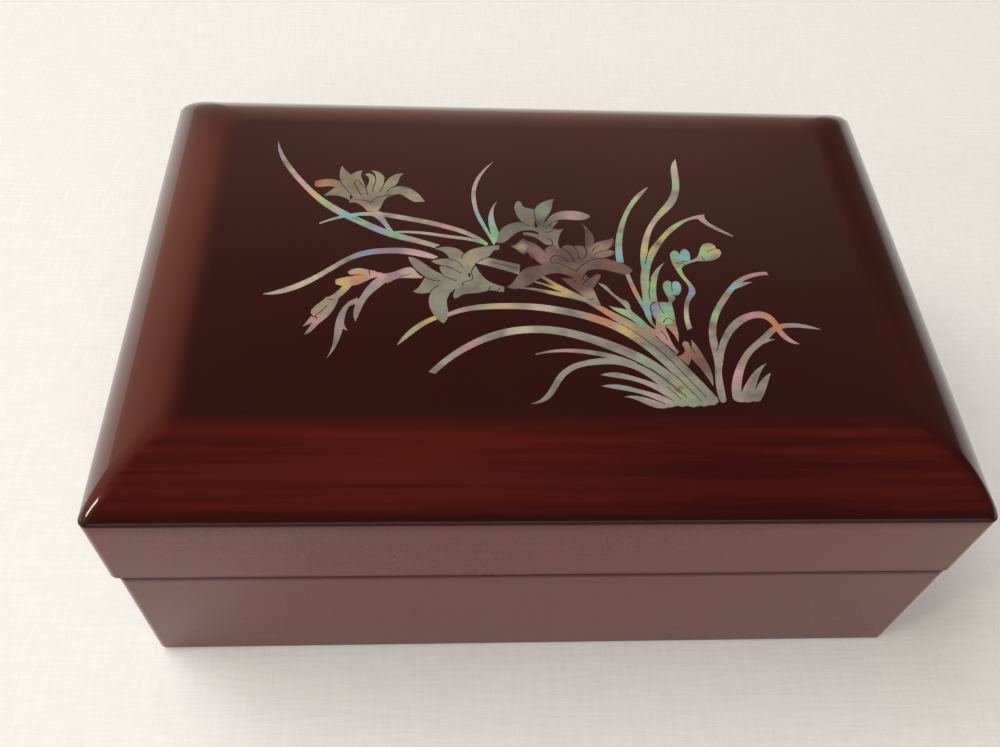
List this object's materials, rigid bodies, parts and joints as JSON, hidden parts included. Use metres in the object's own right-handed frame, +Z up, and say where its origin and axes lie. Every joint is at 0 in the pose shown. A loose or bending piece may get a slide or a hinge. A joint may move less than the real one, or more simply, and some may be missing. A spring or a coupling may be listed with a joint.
{
  "type": "jewellery box",
  "caption": "Lacquered wooden jewellery box with a hinged, round-shouldered lid, orchid inlay in mother-of-pearl, a mirror in the lid and a lift-out ring tray.",
  "frame": {"origin": "on the resting surface, under the middle of the closed lid", "axes": "+X to the right along the front, +Y to the hinged back, +Z up"},
  "size_m": [0.181, 0.124, 0.075],
  "materials": {
    "lacquer": "high-gloss dark oxblood lacquer over wood",
    "plain_wood": "satin sealed plywood",
    "velvet": "deep red velvet, short pile",
    "felt": "black pressed felt",
    "satin": "red satin ribbon",
    "brass": "polished brass",
    "mirror": "silvered glass",
    "pearl": "iridescent mother-of-pearl, polished flush"
  },
  "bodies": {
    "base": {"base_front_wall": "lacquer", "base_back_wall": "lacquer", "base_left_wall": "lacquer", "base_right_wall": "lacquer", "base_floor_panel": "plain_wood", "base_felt": "felt", "base_liner_front": "velvet", "base_liner_back": "velvet", "base_liner_left": "velvet", "base_liner_right": "velvet", "base_floor_pad": "velvet", "tray_ledge_front": "velvet", "tray_ledge_back": "velvet", "hinge_left_base_leaf": "brass", "hinge_right_base_leaf": "brass", "hinge_left_pin": "brass", "hinge_right_pin": "brass", "hinge_base_screws": "brass"},
    "lid": {"lid_front_rail": "lacquer", "lid_back_rail": "lacquer", "lid_left_rail": "lacquer", "lid_right_rail": "lacquer", "lid_top_board": "lacquer", "lid_liner_front": "velvet", "lid_liner_back": "velvet", "lid_liner_left": "velvet", "lid_liner_right": "velvet", "mirror_backing": "plain_wood", "mirror_glass": "mirror", "mirror_surround": "velvet", "hinge_left_lid_leaf": "brass", "hinge_right_lid_leaf": "brass", "hinge_lid_screws": "brass", "pearl_blossom_left": "pearl", "pearl_blossom_front": "pearl", "pearl_blossom_top": "pearl", "pearl_blossom_right": "pearl", "pearl_buds": "pearl", "pearl_leaves_front": "pearl", "pearl_leaves_left": "pearl", "pearl_leaves_right": "pearl"},
    "tray": {"tray_floor": "velvet", "tray_front_wall": "velvet", "tray_back_wall": "velvet", "tray_left_wall": "velvet", "tray_right_wall": "velvet", "tray_divider_cross": "velvet", "tray_divider_long": "velvet", "tray_divider_short": "velvet", "tray_pads": "velvet", "tray_pull_tab_left": "satin", "tray_pull_tab_right": "satin", "ring_roll_1": "velvet", "ring_roll_2": "velvet", "ring_roll_3": "velvet", "ring_roll_4": "velvet", "ring_roll_5": "velvet", "ring_roll_6": "velvet", "ring_roll_7": "velvet"}
  },
  "joints": [
    {"name": "lid_hinge", "type": "hinge", "parent": "base", "child": "lid", "pos_m": [0, 0.0595, 0.04115], "axis": [-1, 0, 0], "range_deg": [0, 100]},
    {"name": "tray_lift", "type": "slide", "parent": "base", "child": "tray", "axis": [0, 0, 1], "range_m": [0, 0.018]}
  ]
}
